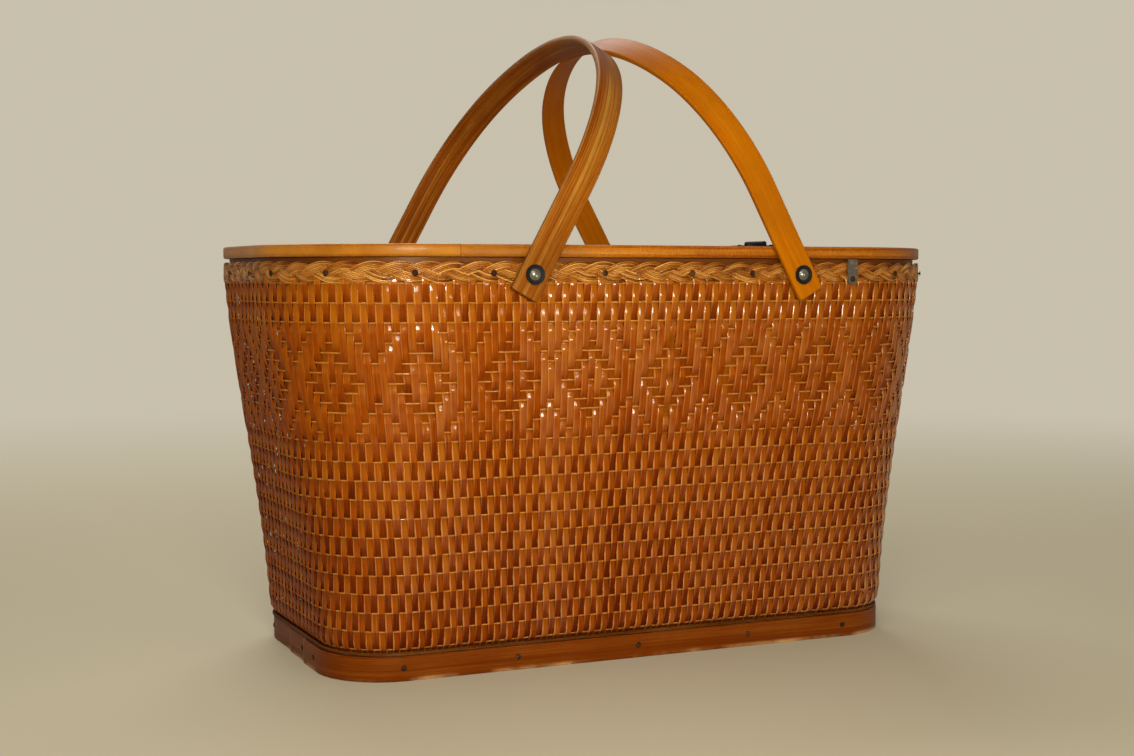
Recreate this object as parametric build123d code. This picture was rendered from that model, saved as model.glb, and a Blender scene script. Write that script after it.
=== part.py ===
"""Picnic basket with a woven wall, a hinged lid and two folding bow handles.

Millimetres, +Z up. Origin at the centre of the footprint on the floor,
+X along the length towards the fixed end of the lid, -Y towards the front.
"""
from math import asin, atan, cos, degrees, hypot, pi, radians, sin
import os

from build123d import *

LID_LENGTH, LID_WIDTH, LID_RADIUS = 490.0, 276.0, 103.0
LID_BOTTOM, LID_TOP = 267.0, 275.0
LID_BAND, LID_BOARD = 5.0, 5.0
LID_SPLIT_X, LID_SPLIT_GAP = 82.0, 0.8
BAND_JOINT_X = -142.7

BASE_LENGTH, BASE_WIDTH, BASE_RADIUS = 420.0, 202.0, 46.0
BASE_BAND_HEIGHT, BASE_BAND = 16.0, 3.0
BOTTOM_BOARD_Z, BOTTOM_BOARD = 4.5, 7.5
LAP_FRONT_Y, LAP_REAR_Y, LAP_PLY, LAP_END_X = -23.7, 13.4, 1.3, -150.0

# height, length, width and corner radius of the woven wall, outside
WALL_SECTIONS = (
    (30.0, 422.5, 205.5, 47.5),
    (65.0, 431.0, 215.0, 56.0),
    (105.0, 443.0, 227.5, 67.5),
    (150.0, 458.0, 242.5, 80.5),
    (200.0, 475.0, 259.5, 92.5),
    (247.0, 487.2, 273.2, 101.6),
)
WALL_FOOT_Z, WALL_TUCK_Z, WALL_TOP_Z = 2.0, 17.5, 264.0
WALL = 2.6

BRAID_LENGTH, BRAID_WIDTH, BRAID_RADIUS, BRAID = 492.0, 278.0, 104.0, 2.3
BRAID_BOTTOM, BRAID_TOP = 250.6, 264.8
HOOP_BOTTOM, HOOP_TOP, HOOP = 247.5, 266.7, 3.0

PIVOT_X, PIVOT_Z = 96.8, 256.2
BOW_INSIDE, BOW, BOW_STRIP = 140.9, 4.1, 19.0
BOW_LEG, BOW_TAIL = 63.3, 15.8
SHOULDER_RADIUS, SHOULDER_ANGLE = 110.0, radians(55.3)
CROWN_GAP = -0.35  # between the strips' corners before they are rounded

RIVET_RADIUS, RIVET_HEAD_RADIUS, RIVET_HEAD = 2.0, 3.8, 1.9
WASHER_RADIUS, WASHER, WASHER_LIP = 6.3, 0.7, 0.6
BURR_RADIUS, BURR = 4.2, 1.0
RUNNING, SEAT, APART = 0.05, 0.03, 0.3

NAIL_RADIUS, NAIL_HEAD_RADIUS, NAIL_HEAD = 0.7, 2.0, 0.7
# distances along the outline from the middle of the front, positive to the right
RIM_NAILS = (-420, -366, -312.2, -275.1, -227.6, -171.5, -121.5, -45.7, 16.9, 61.7,
             180.5, 236, 291, 342, 400, 458, 509, 575, 628)
BASE_NAILS = (-356, -274.7, -244, -166.7, -89.9, -2.5, 81.9, 159.6, 226, 285,
              347, 423, 498, 566)
NAIL_RIM_Z, NAIL_BASE_Z, NAIL_BRACKET_Z = 257.2, 8.6, 253.5

BRACKET_X, BRACKET_WIDTH, BRACKET_METAL = 139.5, 8.0, 0.8
BRACKET_BOTTOM, BRACKET_TOP, BRACKET_TIP_Y = 249.5, 266.85, 131.5

HINGE_Y, HINGE_LENGTH, HINGE_AXIS_Z = 108.0, 24.0, 277.1
KNUCKLE_RADIUS, HINGE_PIN_RADIUS = 1.7, 0.8
LEAF, LEAF_REACH, LEAF_NAIL_X, LEAF_NAIL_Y = 0.9, 13.0, 8.5, 6.5


def outline(length, width, radius, inset=0.0):
    return RectangleRounded(length - 2 * inset, width - 2 * inset, radius - inset)


def slab(size, bottom, top, inset=0.0):
    return Pos(0, 0, bottom) * extrude(outline(*size, inset), top - bottom)


def hoop(size, bottom, top, thickness, inset=0.0):
    return slab(size, bottom, top, inset) - slab(size, bottom, top, inset + thickness)


def outer_rims(shape, size, zs):
    """Edges that run round the outside of a hoop or slab at the given heights."""
    edges = shape.edges().filter_by(lambda e: any(abs(e.center().Z - z) < 0.01 for z in zs))
    return [e for e in edges if e.bounding_box().size.Z < 0.01 and on_outline(e, size)]


def on_outline(edge, size):
    length, width, radius = size
    p = edge @ 0.5
    dx = max(abs(p.X) - (length / 2 - radius), 0)
    dy = max(abs(p.Y) - (width / 2 - radius), 0)
    return abs(hypot(dx, dy) - radius) < 0.05


def point_on_outline(length, width, radius, along):
    """X, Y and outward direction in degrees at a distance along the outline."""
    half_x, half_y, arc = length / 2 - radius, width / 2 - radius, pi / 2 * radius
    run = abs(along)
    if run <= half_x:
        x, y, turn = run, -width / 2, -90
    elif run <= half_x + arc:
        a = (run - half_x) / radius
        x, y, turn = half_x + radius * sin(a), -half_y - radius * cos(a), degrees(a) - 90
    elif run <= half_x + arc + 2 * half_y:
        x, y, turn = length / 2, run - half_x - arc - half_y, 0
    elif run <= half_x + 2 * arc + 2 * half_y:
        a = (run - half_x - arc - 2 * half_y) / radius
        x, y, turn = half_x + radius * cos(a), half_y + radius * sin(a), degrees(a)
    else:
        x, y, turn = 2 * half_x + 2 * arc + 2 * half_y - run, width / 2, 90
    return (x, y, turn) if along >= 0 else (-x, y, 180 - turn)


def ply_shift(x, y):
    """How far the base band stands out of, or in from, its outline at its left end."""
    if x > LAP_END_X or LAP_FRONT_Y <= y <= LAP_REAR_Y:
        return 0
    return -LAP_PLY if y < LAP_FRONT_Y else LAP_PLY


def outward(x, y, z, turn):
    """Places something built along +Z so that it points out of the wall."""
    return Pos(x, y, z) * Rot(0, 0, turn) * Rot(0, 90, 0)


def dome(radius, height):
    ball = (radius ** 2 + height ** 2) / (2 * height)
    cap = Pos(0, 0, height - ball) * Sphere(ball)
    return cap & Pos(0, 0, height / 2) * Box(3 * radius, 3 * radius, height)


def nail(length):
    shank = Pos(0, 0, (0.2 - length) / 2) * Cylinder(NAIL_RADIUS, length + 0.2)
    return dome(NAIL_HEAD_RADIUS, NAIL_HEAD) + shank


def drill(radius, depth):
    return Pos(0, 0, 1 - depth / 2) * Cylinder(radius, depth + 2)


def wall_solid(inset):
    """Wall tucked in behind the base band and upright behind the rim."""
    foot = (BASE_LENGTH - 2 * BASE_BAND - 0.2, BASE_WIDTH - 2 * BASE_BAND - 0.2,
            BASE_RADIUS - BASE_BAND - 0.1)
    sections = [Pos(0, 0, z) * outline(*size, inset) for z, *size in WALL_SECTIONS]
    tuck = Pos(0, 0, WALL_TUCK_Z) * outline(*foot, inset)
    collar = slab(foot, WALL_FOOT_Z, WALL_TUCK_Z, inset)
    rim = slab(WALL_SECTIONS[-1][1:], WALL_SECTIONS[-1][0], WALL_TOP_Z, inset)
    return collar + loft([tuck, sections[0]]) + loft(sections) + rim


def bow_side(offset):
    """One long edge of the bow strip, seen along its pivot axis."""
    half = BOW_INSIDE + BOW / 2
    crown_radius = SHOULDER_RADIUS + (half - SHOULDER_RADIUS) / cos(SHOULDER_ANGLE)
    crown_z = BOW_LEG + (SHOULDER_RADIUS - crown_radius) * sin(SHOULDER_ANGLE)

    def shoulder(side, angle):
        radius = SHOULDER_RADIUS + offset
        return (side * (half - SHOULDER_RADIUS + radius * cos(angle)),
                BOW_LEG + radius * sin(angle))

    foot = [(side * (half + offset), -BOW_TAIL) for side in (-1, 1)]
    lines = [Line(foot[i], shoulder(side, 0)) for i, side in enumerate((-1, 1))]
    arcs = [ThreePointArc(*[shoulder(side, SHOULDER_ANGLE * t) for t in (0, 0.5, 1)])
            for side in (-1, 1)]
    top = (0, crown_z + crown_radius + offset)
    crown = ThreePointArc(shoulder(-1, SHOULDER_ANGLE), top, shoulder(1, SHOULDER_ANGLE))
    return lines + arcs + [crown], foot, top[1]


def bow():
    inner, inner_foot, _ = bow_side(-BOW / 2)
    outer, outer_foot, _ = bow_side(BOW / 2)
    ends = [Line(a, b) for a, b in zip(inner_foot, outer_foot)]
    face = make_face(inner + outer + ends)
    strip = extrude(Plane.YZ * face, BOW_STRIP / 2, both=True)
    corners = strip.edges().filter_by(Axis.Y).filter_by(
        lambda e: e.center().Z < 1 - BOW_TAIL)
    strip = fillet(corners, 1.2)
    long_edges = strip.edges().group_by(Axis.X)[0] + strip.edges().group_by(Axis.X)[-1]
    strip = fillet(long_edges, 0.9)
    bore = Rot(90, 0, 0) * Cylinder(RIVET_RADIUS + RUNNING, 3 * BOW_INSIDE)
    return strip - bore


def washer():
    """Shallow dished washer, its flat on z = 0 and its lip turned outwards."""
    bore = RIVET_RADIUS + RUNNING
    flat = RIVET_HEAD_RADIUS + 0.7
    profile = Polyline((bore, 0), (flat, 0), (WASHER_RADIUS, WASHER_LIP),
                       (WASHER_RADIUS, WASHER_LIP + WASHER), (flat, WASHER), (bore, WASHER),
                       close=True)
    return revolve(Plane.XZ * make_face(profile), Axis.Z)


def hinge_leaf(side, knuckles, bore):
    """Leaf reaching to one side of the pin, with its own knuckles on the pin."""
    pitch = HINGE_LENGTH / 3
    drop = LID_TOP + 0.05 - HINGE_AXIS_Z
    plate = Pos(side * LEAF_REACH / 2, 0, drop + LEAF / 2) * Box(LEAF_REACH, HINGE_LENGTH, LEAF)
    clear = KNUCKLE_RADIUS + APART
    for i in range(3):
        middle = (i - 1) * pitch
        if i in knuckles:
            length = pitch - APART
            plate += Pos(0, middle, 0) * Rot(90, 0, 0) * Cylinder(KNUCKLE_RADIUS, length)
            plate += Pos(side * 0.85, middle, drop / 2) * Box(1.7, length, -drop)
        else:
            plate -= Pos(0, middle, 0) * Box(2 * clear, pitch + APART, 3 * clear)
    plate -= Rot(90, 0, 0) * Cylinder(HINGE_PIN_RADIUS + bore, 2 * HINGE_LENGTH)
    for y in (-LEAF_NAIL_Y, LEAF_NAIL_Y):
        plate -= Pos(side * LEAF_NAIL_X, y, 0) * Cylinder(NAIL_RADIUS + SEAT, 6)
    corners = plate.edges().filter_by(Axis.Z).filter_by(
        lambda e: abs(e.center().X) > LEAF_REACH - 0.01)
    return fillet(corners, 2.0)


def bracket(side):
    """Metal angle nailed to the braid and bent in over the rim."""
    face_y = BRAID_WIDTH / 2 + 0.05
    tall = BRACKET_TOP - BRACKET_BOTTOM
    plate = Pos(0, tall / 2) * Rectangle(BRACKET_WIDTH, tall)
    plate = fillet(plate.vertices().group_by(Axis.Y)[0], BRACKET_WIDTH / 2 - 0.1)
    leg = Pos(0, face_y + BRACKET_METAL, BRACKET_BOTTOM) * extrude(Plane.XZ * plate, BRACKET_METAL)
    reach = face_y + BRACKET_METAL - BRACKET_TIP_Y
    arm = Pos(0, BRACKET_TIP_Y + reach / 2, BRACKET_TOP - BRACKET_METAL / 2) * Box(
        BRACKET_WIDTH, reach, BRACKET_METAL)
    angle = leg + arm
    bend = angle.edges().filter_by(Axis.X).sort_by(lambda e: e.center().Y + e.center().Z)[-1]
    angle = fillet(bend, BRACKET_METAL * 0.9)
    angle -= Pos(0, face_y, NAIL_BRACKET_Z) * Rot(90, 0, 0) * Cylinder(NAIL_RADIUS + SEAT, 4)
    return Pos(BRACKET_X, 0, 0) * (angle if side > 0 else mirror(angle, Plane.XZ))


lid_size = (LID_LENGTH, LID_WIDTH, LID_RADIUS)
base_size = (BASE_LENGTH, BASE_WIDTH, BASE_RADIUS)
braid_size = (BRAID_LENGTH, BRAID_WIDTH, BRAID_RADIUS)
rim_size = WALL_SECTIONS[-1][1:]
hoop_inset = WALL + 0.1
board_inset = BASE_BAND + 0.1 + WALL + 0.1

# nails, rivets and the holes that they are driven through
rim_spots = []
for along in RIM_NAILS:
    x, y, turn = point_on_outline(*braid_size, along)
    rim_spots.append((x, y, NAIL_RIM_Z, turn))
base_spots = []
for along in BASE_NAILS:
    x, y, turn = point_on_outline(*base_size, along)
    base_spots.append((x + ply_shift(x, y), y, NAIL_BASE_Z, turn))
bracket_y = BRAID_WIDTH / 2 + 0.05 + BRACKET_METAL
bracket_spots = [(BRACKET_X, side * bracket_y, NAIL_BRACKET_Z, 90 * side) for side in (-1, 1)]
rim_nail = nail((BRAID_LENGTH - rim_size[0]) / 2 + WALL + 2.0)
base_nail = nail(BASE_BAND + WALL + 4.0)
rim_holes = [outward(*spot) * drill(NAIL_RADIUS + SEAT, 8.0) for spot in rim_spots + bracket_spots]
base_holes = [outward(*spot) * drill(NAIL_RADIUS + SEAT, 12.0) for spot in base_spots]

bow_face = BOW_INSIDE + BOW
rivet_spots = {x: [(x, side * bow_face, PIVOT_Z, 90 * side) for side in (-1, 1)]
               for x in (-PIVOT_X, PIVOT_X)}
all_rivets = [spot for pair in rivet_spots.values() for spot in pair]
hoop_face = rim_size[1] / 2 - hoop_inset - HOOP
head_z = 0.05 + WASHER + APART
shank = head_z + bow_face - hoop_face + BURR + 0.4
rivet = Pos(0, 0, head_z) * dome(RIVET_HEAD_RADIUS, RIVET_HEAD)
rivet += Pos(0, 0, head_z + 0.1 - shank / 2) * Cylinder(RIVET_RADIUS, shank)
rivet += Pos(0, 0, head_z - shank + 0.2) * Rot(180, 0, 0) * dome(2.9, 0.8)
burr = Pos(0, 0, hoop_face - bow_face - 0.05 - BURR / 2) * (
    Cylinder(BURR_RADIUS, BURR) - Cylinder(RIVET_RADIUS + SEAT, 2 * BURR))
rivet_holes = [outward(*spot) * drill(RIVET_RADIUS + SEAT, 25.0) for spot in all_rivets]

# base
bottom_board = slab(base_size, BOTTOM_BOARD_Z, BOTTOM_BOARD_Z + BOTTOM_BOARD, board_inset)
bottom_board -= base_holes
base_block = slab(base_size, 0, BASE_BAND_HEIGHT)
base_block = fillet(outer_rims(base_block, base_size, (0, BASE_BAND_HEIGHT)), 0.8)
base_band = base_block
for side, end_y in ((-1, LAP_FRONT_Y), (1, LAP_REAR_Y)):
    ply = Pos(LAP_END_X - 100, end_y + side * 100, BASE_BAND_HEIGHT / 2) * Box(200, 200, 30)
    base_band = base_band - ply + (Pos(side * LAP_PLY, 0, 0) * base_block & ply)
base_band -= slab(base_size, -1, BASE_BAND_HEIGHT + 1, BASE_BAND)
base_band -= base_holes

# wall and rim
woven_wall = wall_solid(0) - wall_solid(WALL)
woven_wall -= rim_holes + base_holes + rivet_holes
inner_hoop = hoop(rim_size, HOOP_BOTTOM, HOOP_TOP, HOOP, hoop_inset)
for side in (-1, 1):
    inner_hoop -= Pos(BRACKET_X, side * (hoop_face + 2), HOOP_TOP) * Box(
        BRACKET_WIDTH + 0.6, 10, 1.4)
inner_hoop -= rim_holes + rivet_holes
braid_trim = hoop(braid_size, BRAID_BOTTOM, BRAID_TOP, BRAID)
braid_trim = fillet(outer_rims(braid_trim, braid_size, (BRAID_BOTTOM, BRAID_TOP)), 1.6)
braid_trim -= rim_holes + rivet_holes

# lid: one bent band and one board, sawn across at the hinge line
band = hoop(lid_size, LID_BOTTOM, LID_TOP, LID_BAND)
band = fillet(outer_rims(band, lid_size, (LID_BOTTOM, LID_TOP)), 1.4)
band -= Pos(BAND_JOINT_X, -LID_WIDTH / 2, (LID_TOP + LID_BOTTOM) / 2) * Box(0.25, 8.0, 20)
board = slab(lid_size, LID_TOP - 0.1 - LID_BOARD, LID_TOP - 0.1, LID_BAND + 0.1)
leaf_nail_spots = {side: [(LID_SPLIT_X + side * LEAF_NAIL_X, end * HINGE_Y + y)
                          for end in (-1, 1) for y in (-LEAF_NAIL_Y, LEAF_NAIL_Y)]
                   for side in (-1, 1)}
for spots in leaf_nail_spots.values():
    board -= [Pos(x, y, LID_TOP) * Cylinder(NAIL_RADIUS + SEAT, 9) for x, y in spots]
cut = LID_LENGTH + LID_SPLIT_GAP / 2
moving_side = Pos(LID_SPLIT_X - cut, 0, LID_TOP) * Box(2 * LID_LENGTH, 2 * LID_WIDTH, 40)
fixed_side = Pos(LID_SPLIT_X + cut, 0, LID_TOP) * Box(2 * LID_LENGTH, 2 * LID_WIDTH, 40)

hinge_top = LID_TOP + 0.05 + LEAF
hinge_pin = Rot(90, 0, 0) * Cylinder(HINGE_PIN_RADIUS, HINGE_LENGTH + 1.2)
hinge_place = {"front": Pos(LID_SPLIT_X, -HINGE_Y, HINGE_AXIS_Z),
               "rear": Pos(LID_SPLIT_X, HINGE_Y, HINGE_AXIS_Z)}
leaf_nails = {side: [Pos(x, y, hinge_top) * nail(LEAF + 3.4) for x, y in spots]
              for side, spots in leaf_nail_spots.items()}

# handles, leaning until their crowns meet over the middle of the basket
crown = bow_side(BOW / 2)[2]
lean = degrees(asin((PIVOT_X - CROWN_GAP / 2) / hypot(crown, BOW_STRIP / 2))
               - atan(BOW_STRIP / 2 / crown))
handle = bow()

nodes = {
    "bottom_board": bottom_board,
    "base_band": base_band,
    "base_nails": Compound([outward(*spot) * base_nail for spot in base_spots]),
    "woven_wall": woven_wall,
    "inner_hoop": inner_hoop,
    "braid_trim": braid_trim,
    "rim_nails": Compound([outward(*spot) * rim_nail for spot in rim_spots]),
    "bracket_front": bracket(-1),
    "bracket_rear": bracket(1),
    "bracket_nails": Compound([outward(*spot) * rim_nail for spot in bracket_spots]),
    "end_board": board & fixed_side,
    "end_band": band & fixed_side,
    "lid_board": board & moving_side,
    "lid_band": band & moving_side,
    "end_leaf_nails": Compound(leaf_nails[1]),
    "lid_leaf_nails": Compound(leaf_nails[-1]),
    "left_bow": Pos(-PIVOT_X, 0, PIVOT_Z) * Rot(0, lean, 0) * handle,
    "right_bow": Pos(PIVOT_X, 0, PIVOT_Z) * Rot(0, -lean, 0) * handle,
    "pivot_rivets": Compound([outward(*spot) * rivet for spot in all_rivets]),
    "rivet_burrs": Compound([outward(*spot) * burr for spot in all_rivets]),
}
for name, x in (("left", -PIVOT_X), ("right", PIVOT_X)):
    nodes[name + "_washers"] = Compound(
        [outward(*spot) * Pos(0, 0, 0.05) * washer() for spot in rivet_spots[x]])
for name, place in hinge_place.items():
    nodes[name + "_hinge_fixed"] = place * hinge_leaf(1, (0, 2), SEAT)
    nodes[name + "_hinge_moving"] = place * hinge_leaf(-1, (1,), RUNNING)
    nodes[name + "_hinge_pin"] = place * hinge_pin

os.makedirs("parts", exist_ok=True)
for name, shape in nodes.items():
    export_step(shape, "parts/" + name + ".step")
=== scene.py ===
import bpy, bmesh, math, random
import numpy as np
from mathutils import Euler, Matrix, Vector


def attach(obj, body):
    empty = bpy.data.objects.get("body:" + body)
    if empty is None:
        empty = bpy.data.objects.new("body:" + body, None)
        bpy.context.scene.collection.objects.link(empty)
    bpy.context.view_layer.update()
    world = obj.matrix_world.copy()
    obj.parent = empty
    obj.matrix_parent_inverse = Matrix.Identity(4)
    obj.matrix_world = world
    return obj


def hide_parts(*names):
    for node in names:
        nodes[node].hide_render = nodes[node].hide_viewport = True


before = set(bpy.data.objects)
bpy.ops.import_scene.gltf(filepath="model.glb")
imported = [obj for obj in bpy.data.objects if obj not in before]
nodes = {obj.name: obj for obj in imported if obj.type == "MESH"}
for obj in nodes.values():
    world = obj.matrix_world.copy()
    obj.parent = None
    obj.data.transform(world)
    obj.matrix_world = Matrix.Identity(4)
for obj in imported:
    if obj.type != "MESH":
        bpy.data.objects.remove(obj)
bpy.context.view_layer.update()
mm = 0.001
print("frame loaded,", len(nodes), "CAD nodes")


# one output of a node, so that node maths reads as plain expressions
class Socket:
    def __init__(self, tree, out):
        self.tree, self.out = tree, out

    def maths(self, operation, *others):
        sockets = dict(enumerate((self, *others)))
        return self.tree.add("ShaderNodeMath", {"operation": operation}, sockets)[0]

    def __add__(self, other):
        return self.maths("ADD", other)

    def __radd__(self, other):
        return self.maths("ADD", other)

    def __sub__(self, other):
        return self.maths("SUBTRACT", other)

    def __rsub__(self, other):
        return self.tree.number(other).maths("SUBTRACT", self)

    def __mul__(self, other):
        return self.maths("MULTIPLY", other)

    def __rmul__(self, other):
        return self.maths("MULTIPLY", other)

    def __truediv__(self, other):
        return self.maths("DIVIDE", other)

    def __mod__(self, other):
        return self.maths("FLOORED_MODULO", other)

    def __neg__(self):
        return self.maths("MULTIPLY", -1.0)

    def power(self, other):
        return self.maths("POWER", other)

    def floor(self):
        return self.maths("FLOOR")

    def nearest(self):
        return self.maths("ROUND")

    def size(self):
        return self.maths("ABSOLUTE")

    def sign(self):
        return self.maths("SIGN")

    def sine(self):
        return self.maths("SINE")

    def cosine(self):
        return self.maths("COSINE")

    def least(self, other):
        return self.maths("MINIMUM", other)

    def most(self, other):
        return self.maths("MAXIMUM", other)

    def above(self, other):
        return self.maths("GREATER_THAN", other)

    def within(self, low, high):
        return self.most(low).least(high)

    def ease(self, low, high):  # 0 below low, 1 above high, smooth between
        t = ((self - low) / (high - low)).within(0.0, 1.0)
        return t * t * (3.0 - 2.0 * t)

    def between(self, a, b):  # a where this is 0, b where it is 1
        return a + self * (b - a)


# a node that was just added: made[0] or made["Name"] is one of its outputs
class Made:
    def __init__(self, tree, node):
        self.tree, self.node = tree, node

    def __getitem__(self, key):
        return Socket(self.tree, self.node.outputs[key])


class NodeTree:
    def __init__(self, tree):
        self.tree = tree

    def add(self, kind, settings=None, sockets=None):
        node = self.tree.nodes.new(kind)
        for key, value in (settings or {}).items():
            if key == "stops":
                self.fillRamp(node.color_ramp, value)
            elif key == "items":
                for _ in range(value - len(node.index_switch_items)):
                    node.index_switch_items.new()
            else:
                setattr(node, key, value)
        for key, value in (sockets or {}).items():
            target = node.inputs[key]
            if isinstance(value, Socket):
                self.tree.links.new(value.out, target)
            elif isinstance(value, Made):
                self.tree.links.new(value.node.outputs[0], target)
            else:
                target.default_value = value
        return Made(self, node)

    def fillRamp(self, ramp, stops):
        while len(ramp.elements) < len(stops):
            ramp.elements.new(0.5)
        for element, (place, colour) in zip(ramp.elements, stops):
            element.position = place
            element.color = (*colour, 1.0)

    def number(self, value):
        if isinstance(value, Socket):
            return value
        return self.add("ShaderNodeMath", {"operation": "ADD"}, {0: float(value), 1: 0.0})[0]

    def vector(self, x, y, z):
        return self.add("ShaderNodeCombineXYZ", None, {0: x, 1: y, 2: z})[0]

    def split(self, vector):
        made = self.add("ShaderNodeSeparateXYZ", None, {0: vector})
        return made[0], made[1], made[2]

    def scaled(self, vector, x, y, z):
        return self.add("ShaderNodeVectorMath", {"operation": "MULTIPLY"}, {0: vector, 1: (x, y, z)})[0]

    def blend(self, factor, a, b):
        return self.add("ShaderNodeMix", {"data_type": "RGBA"}, {0: factor, 6: a, 7: b})[2]

    def ramp(self, factor, stops):
        return self.add("ShaderNodeValToRGB", {"stops": stops}, {0: factor})[0]

    def noise(self, vector, scale, detail=2.0, roughness=0.5):
        return self.add("ShaderNodeTexNoise", None, {"Vector": vector, "Scale": scale,
                                                     "Detail": detail, "Roughness": roughness})[0]


def newObject(name, data):
    obj = bpy.data.objects.new(name, data)
    bpy.context.scene.collection.objects.link(obj)
    return obj


# materials

lacquerTint = (1.0, 0.60, 0.22, 1.0)  # what the varnish does to a reflection


def opaque(colour):
    return (*colour, 1.0)


def newMaterial(name, plain):
    material = bpy.data.materials.new(name)
    material.use_nodes = True
    tree = material.node_tree
    tree.nodes.clear()
    nt = NodeTree(tree)
    shader = nt.add("ShaderNodeBsdfPrincipled", None, plain)
    nt.add("ShaderNodeOutputMaterial", None, {"Surface": shader})
    material.diffuse_color = (0.5, 0.3, 0.12, 1.0)
    return material, nt, shader


def feed(nt, shader, **values):
    names = {"colour": "Base Color", "roughness": "Roughness", "coat": "Coat Weight",
             "metal": "Metallic", "normal": "Normal"}
    for key, value in values.items():
        nt.tree.links.new(value.out, shader.node.inputs[names[key]])


def bump(nt, height, strength, distance):
    return nt.add("ShaderNodeBump", None, {"Height": height, "Strength": strength, "Distance": distance})[0]


def attribute(nt, name):
    return nt.add("ShaderNodeAttribute", {"attribute_name": name})


# in the splints' colours stain is painted shade with some dirt, worn the painted-pale shoulder, and bleach
# and gradient set how much light and shade is painted by slope and by height
splintLook = {"low": (0.085, 0.008, 0.0), "mid": (0.215, 0.036, 0.0), "high": (0.31, 0.085, 0.001),
              "stain": (0.055, 0.006, 0.0002), "worn": (0.50, 0.21, 0.045), "roughness": 0.40, "coat": 0.02,
              "bleach": 0.50, "edge": 0.85, "fade": 0.0012}
weaverLook = {"low": (0.26, 0.08, 0.008), "mid": (0.37, 0.135, 0.018), "high": (0.50, 0.23, 0.04),
              "stain": (0.16, 0.04, 0.004), "worn": (0.6, 0.3, 0.1), "roughness": 0.40, "coat": 0.10,
              "bleach": 0.0, "edge": 0.0, "fade": 0.0}
# the weave's painted light and shade: the colour gets lighter above middle and darker below it, and painted
# shade darkens the foot between stainedTo and stainedFrom; the coat goes dull at the left end
weaveShadeAndDull = {"middle": 125.0, "stainedFrom": 21.0, "stainedTo": 18.6,  # heights in mm
             "dullTo": -0.225, "dullFrom": -0.165}                     # the left end, in m


def splintMaterial(name, look):
    material, nt, shader = newMaterial(name, {"Coat Roughness": 0.075, "Specular IOR Level": 0.12,
                                              "Specular Tint": lacquerTint})
    tone = attribute(nt, "tone")["Fac"]
    rise = attribute(nt, "rise")["Fac"]
    sunny = attribute(nt, "sunny")["Fac"]
    edge = attribute(nt, "edge")["Fac"]
    fibre = attribute(nt, "fibre")["Vector"]
    place = nt.add("ShaderNodeTexCoord")["Object"]
    height = nt.split(fibre)[1]
    grain = nt.noise(nt.scaled(fibre, 11.0, 0.035, 1.0), 1.0, 4.0, 0.7)
    blotch = nt.noise(nt.scaled(fibre, 0.9, 0.05, 1.0), 1.0, 2.0)
    age = nt.noise(place, 9.0, 3.0, 0.6)
    # painted light and shade: bleach lightens the stretch of a splint that rises out below a weaver and
    # darkens the stretch that goes back in
    # painted light: gradient makes the colour lighter towards the top of the wall and darker towards the
    # bottom
    shade = 0.46 + (tone - 0.5) * 0.45 + (grain - 0.5) * 1.1 + (blotch - 0.5) * 0.5 + (age - 0.5) * 0.35 \
        + (sunny - 0.5) * look["bleach"] + (height - weaveShadeAndDull["middle"]) * look["fade"]
    colour = nt.ramp(shade.within(0.0, 1.0),
                     [(0.12, look["low"]), (0.48, look["mid"]), (0.88, look["high"])])
    # painted shade: foot darkens the wall where it tucks in behind the band
    foot = 1.0 - (height + (grain - 0.5) * 4.0).ease(weaveShadeAndDull["stainedTo"], weaveShadeAndDull["stainedFrom"])
    front = nt.split(place)[0].ease(weaveShadeAndDull["dullTo"], weaveShadeAndDull["dullFrom"])
    gloss = edge * look["edge"] * 0.75 + rise * (tone + age - 1.0).ease(-0.15, 0.25)
    # painted shade with some dirt: pressed-in and falling stretches darken towards stain, unevenly, and the
    # tucked foot darkens fully
    shadeAndDirt = ((0.5 - rise).within(0.0, 1.0) * (1.2 - sunny) * (0.4 + age)).most(foot)
    colour = nt.blend(shadeAndDirt.within(0.0, 0.85), colour, opaque(look["stain"]))
    # painted highlight: the left shoulders flagged by edge are blended towards the pale worn colour
    colour = nt.blend(edge * (0.35 + grain * 0.6) * look["edge"], colour, opaque(look["worn"]))
    feed(nt, shader, colour=colour, roughness=look["roughness"] + grain * 0.12,
         coat=(look["coat"] + (gloss * 1.15 + rise * 0.03) * front - shadeAndDirt * 0.3).within(0.0, 1.0),
         normal=bump(nt, grain + blotch * 0.6, 0.22, 0.0006))
    return material


braidLook = {"dark": (0.075, 0.014, 0.001), "tan": (0.29, 0.09, 0.006), "pale": (0.52, 0.24, 0.045)}


def braidMaterial(name, look):
    material, nt, shader = newMaterial(name, {"Coat Roughness": 0.16, "Specular IOR Level": 0.3,
                                              "Specular Tint": lacquerTint})
    tone = attribute(nt, "tone")["Fac"]
    rise = attribute(nt, "rise")["Fac"]
    fibre = attribute(nt, "fibre")["Vector"]
    place = nt.add("ShaderNodeTexCoord")["Object"]
    streak = nt.noise(nt.scaled(fibre, 0.12, 5.0, 1.0), 1.0, 3.0, 0.6)
    age = nt.noise(place, 14.0, 3.0, 0.6)
    # painted light and shade: strands are lighter where they stand out (rise) and darker in the hollows
    # between them
    shade = 0.46 + (tone - 0.5) * 1.9 + (streak - 0.5) * 0.7 + (age - 0.5) * 0.4 + (rise - 0.5) * 0.35
    colour = nt.ramp(shade.within(0.0, 1.0),
                     [(0.08, look["dark"]), (0.5, look["tan"]), (0.95, look["pale"])])
    feed(nt, shader, colour=colour, roughness=0.4 + streak * 0.15, coat=0.10 + rise * 0.35,
         normal=bump(nt, streak, 0.15, 0.0004))
    return material


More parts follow.
